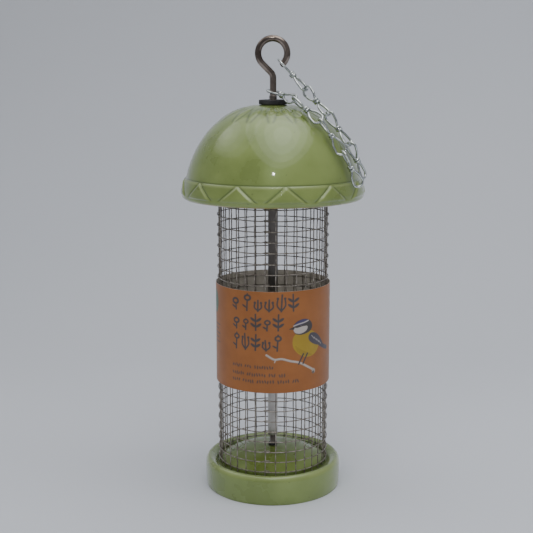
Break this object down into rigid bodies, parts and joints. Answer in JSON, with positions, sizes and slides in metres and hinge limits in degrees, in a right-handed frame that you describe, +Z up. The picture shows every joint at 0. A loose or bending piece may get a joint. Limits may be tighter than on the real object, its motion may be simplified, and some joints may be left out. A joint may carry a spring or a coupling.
{
  "type": "hanging bird feeder",
  "caption": "Hanging seed feeder: glazed bell roof, wire mesh tube with card sleeve, glazed dish, central tube, screw-in eye bolt and a double-loop chain.",
  "frame": {"origin": "centre of the dish's foot ring, on the surface the feeder stands on", "axes": "+Z up along the centre tube, -Y towards the printed side of the card sleeve, +X towards the side of the roof on which the chain lies"},
  "size_m": [0.111, 0.111, 0.2759],
  "materials": {
    "green_glaze": "glossy transparent olive green glaze over pale stoneware",
    "mesh_wire": "dull dark welded wire",
    "tube_steel": "drawn steel tube",
    "screw_steel": "bright zinc",
    "dark_steel": "polished dark steel",
    "chain_zinc": "bright zinc plated wire",
    "black_rubber": "matte",
    "printed_card": "satin printed card, grey-brown inside"
  },
  "bodies": {
    "base_and_tube": {"base_dish": "green_glaze", "base_screw": "screw_steel", "base_screw_washer": "screw_steel", "base_gasket": "black_rubber", "base_seal_ring": "black_rubber", "centre_tube": "tube_steel", "tube_top_washer": "black_rubber", "mesh_uprights": "mesh_wire", "mesh_rings": "mesh_wire"},
    "card_sleeve": {"label_sleeve": "printed_card"},
    "roof": {"roof_dome": "green_glaze"},
    "top_washer": {"roof_top_washer": "black_rubber"},
    "eye_bolt": {"eye_bolt": "dark_steel"},
    "link_1": {"chain_link_1": "chain_zinc"},
    "link_2": {"chain_link_2": "chain_zinc"},
    "link_3": {"chain_link_3": "chain_zinc"},
    "link_4": {"chain_link_4": "chain_zinc"},
    "link_5": {"chain_link_5": "chain_zinc"},
    "link_6": {"chain_link_6": "chain_zinc"},
    "link_7": {"chain_link_7": "chain_zinc"},
    "link_8": {"chain_link_8": "chain_zinc"}
  },
  "joints": [
    {"name": "roof_lift", "type": "slide", "parent": "base_and_tube", "child": "roof", "axis": [0, 0, 1], "range_m": [0, 0.09]},
    {"name": "eye_rise", "type": "slide", "parent": "roof", "child": "top_washer", "axis": [0, 0, 1], "range_m": [0, 0.0144]},
    {"name": "eye_turn", "type": "hinge", "parent": "top_washer", "child": "eye_bolt", "pos_m": [0, 0, 0.24], "axis": [0, 0, 1], "range_deg": [0, 6481]},
    {"name": "sleeve_slide", "type": "slide", "parent": "base_and_tube", "child": "card_sleeve", "axis": [0, 0, 1], "range_m": [-0.047, 0.05]},
    {"name": "link_1_lift", "type": "hinge", "parent": "eye_bolt", "child": "link_1", "pos_m": [0.0055, 0, 0.259], "axis": [-0.3657, -0.9308, 0], "range_deg": [0, 30]},
    {"name": "link_2_lift", "type": "hinge", "parent": "link_1", "child": "link_2", "pos_m": [0.0195, -0.0055, 0.244], "axis": [-0.5037, -0.8491, -0.1588], "range_deg": [0, 45]},
    {"name": "link_3_lift", "type": "hinge", "parent": "link_2", "child": "link_3", "pos_m": [0.032, -0.0165, 0.23], "axis": [-0.7018, -0.709, -0.0695], "range_deg": [0, 45]},
    {"name": "link_4_lift", "type": "hinge", "parent": "link_3", "child": "link_4", "pos_m": [0.0445, -0.022, 0.213], "axis": [-0.5983, -0.779, -0.1879], "range_deg": [0, 45]},
    {"name": "link_5_swing", "type": "hinge", "parent": "eye_bolt", "child": "link_5", "pos_m": [0, 0, 0.243], "axis": [0, 0, 1], "range_deg": [-180, 0]},
    {"name": "link_6_lift", "type": "hinge", "parent": "link_5", "child": "link_6", "pos_m": [0.0125, -0.015, 0.2385], "axis": [-0.6449, -0.3307, -0.689], "range_deg": [0, 45]},
    {"name": "link_7_lift", "type": "hinge", "parent": "link_6", "child": "link_7", "pos_m": [0.027, -0.028, 0.227], "axis": [-0.7266, -0.2415, -0.6432], "range_deg": [0, 45]},
    {"name": "link_8_lift", "type": "hinge", "parent": "link_7", "child": "link_8", "pos_m": [0.04, -0.032, 0.209], "axis": [-0.8157, -0.1861, -0.5478], "range_deg": [0, 45]}
  ],
  "couplings": [
    {"joint": "eye_turn", "follows": "eye_rise", "rad_per_m": 7854}
  ]
}
